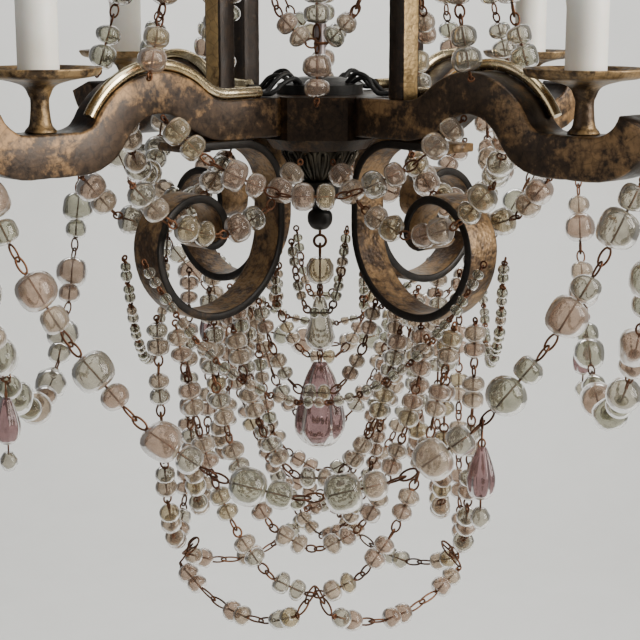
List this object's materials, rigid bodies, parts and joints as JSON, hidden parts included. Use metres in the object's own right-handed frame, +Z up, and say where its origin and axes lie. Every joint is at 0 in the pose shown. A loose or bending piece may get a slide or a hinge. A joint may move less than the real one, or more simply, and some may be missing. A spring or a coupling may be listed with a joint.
{
  "type": "chandelier",
  "caption": "Small beaded cage chandelier with scroll arms, candle sleeves, glass bead swags and amethyst drops, hung from a ring.",
  "frame": {"origin": "the point where the ceiling hook bears on the inside of the suspension ring", "axes": "+Z up; the arms lie along +X, +Y, -X and -Y"},
  "size_m": [0.521, 0.521, 0.6852],
  "materials": {
    "black_flex": "black insulated wire",
    "black_iron": "black, satin",
    "brass": "worn satin brass",
    "candle": "cream candle sleeve",
    "dark_bronze": "dark patinated",
    "gilt_iron": "worn gilding over brown paint",
    "gilt_wood": "worn gilding over dark brown wood",
    "glass_amethyst": "pale amethyst glass",
    "glass_blush": "clear glass with a faint pink tint",
    "glass_clear": "clear, faintly green-grey pressed glass",
    "lamp_glass": "clear lamp glass",
    "old_iron": "aged, rough",
    "socket": "white lamp socket",
    "steel_tube": "grey, satin",
    "wire": "rusty brown wire"
  },
  "bodies": {
    "hanger": {"suspension_ring": "old_iron"},
    "centre_pendant": {"centre_pendant_beads": "glass_clear", "centre_drop": "glass_amethyst"},
    "swag_drop_1": {"swag_drop_1": "glass_amethyst"},
    "swag_drop_2": {"swag_drop_2": "glass_amethyst"},
    "swag_drop_3": {"swag_drop_3": "glass_amethyst"},
    "swag_drop_4": {"swag_drop_4": "glass_amethyst"},
    "chandelier": {"arm_beam_1": "gilt_wood", "arm_beam_2": "gilt_wood", "arm_beam_3": "gilt_wood", "arm_beam_4": "gilt_wood", "arm_wires": "black_flex", "basket_swags_1": "glass_blush", "basket_swags_2": "glass_blush", "basket_swags_3": "glass_blush", "basket_swags_4": "glass_blush", "cage_bar_1": "gilt_wood", "cage_bar_2": "gilt_wood", "cage_bar_3": "gilt_wood", "cage_bar_4": "gilt_wood", "cage_strands_1": "glass_blush", "cage_strands_2": "glass_blush", "cage_strands_3": "glass_blush", "cage_strands_4": "glass_blush", "candle_lamps": "lamp_glass", "candle_sleeve_1": "candle", "candle_sleeve_2": "candle", "candle_sleeve_3": "candle", "candle_sleeve_4": "candle", "centre_tube": "steel_tube", "cross_strings": "glass_clear", "crown_eye": "old_iron", "crown_plate": "gilt_iron", "drip_pans": "gilt_iron", "finial": "black_iron", "finial_hook": "wire", "hub_block": "gilt_wood", "hub_swags_1": "glass_blush", "hub_swags_2": "glass_blush", "hub_swags_3": "glass_blush", "hub_swags_4": "glass_blush", "junction_disc": "black_iron", "lamp_sockets": "socket", "leaf_cup": "dark_bronze", "lower_scroll_1": "gilt_iron", "lower_scroll_2": "gilt_iron", "lower_scroll_3": "gilt_iron", "lower_scroll_4": "gilt_iron", "outer_swag_1": "glass_clear", "outer_swag_2": "glass_clear", "outer_swag_3": "glass_clear", "outer_swag_4": "glass_clear", "scroll_screws": "old_iron", "seed_swags_1": "glass_clear", "seed_swags_2": "glass_clear", "seed_swags_3": "glass_clear", "seed_swags_4": "glass_clear", "wiring_tubes": "brass"}
  },
  "joints": [
    {"name": "ring_swing", "type": "hinge", "parent": "hanger", "child": "chandelier", "pos_m": [0, 0, -0.0295], "axis": [1, 0, 0], "range_deg": [-15, 15]},
    {"name": "pendant_swing", "type": "hinge", "parent": "chandelier", "child": "centre_pendant", "pos_m": [0, 0, -0.4428], "axis": [0.7071, -0.7071, 0], "range_deg": [-12, 12]},
    {"name": "drop_1_swing", "type": "hinge", "parent": "chandelier", "child": "swag_drop_1", "pos_m": [0.06512, 0.19588, -0.50627], "axis": [-0.7071, 0.7071, 0], "range_deg": [-20, 20]},
    {"name": "drop_2_swing", "type": "hinge", "parent": "chandelier", "child": "swag_drop_2", "pos_m": [-0.19588, 0.06512, -0.50627], "axis": [-0.7071, -0.7071, 0], "range_deg": [-20, 20]},
    {"name": "drop_3_swing", "type": "hinge", "parent": "chandelier", "child": "swag_drop_3", "pos_m": [-0.06512, -0.19588, -0.50627], "axis": [0.7071, -0.7071, 0], "range_deg": [-20, 20]},
    {"name": "drop_4_swing", "type": "hinge", "parent": "chandelier", "child": "swag_drop_4", "pos_m": [0.19588, -0.06512, -0.50627], "axis": [0.7071, 0.7071, 0], "range_deg": [-20, 20]}
  ]
}
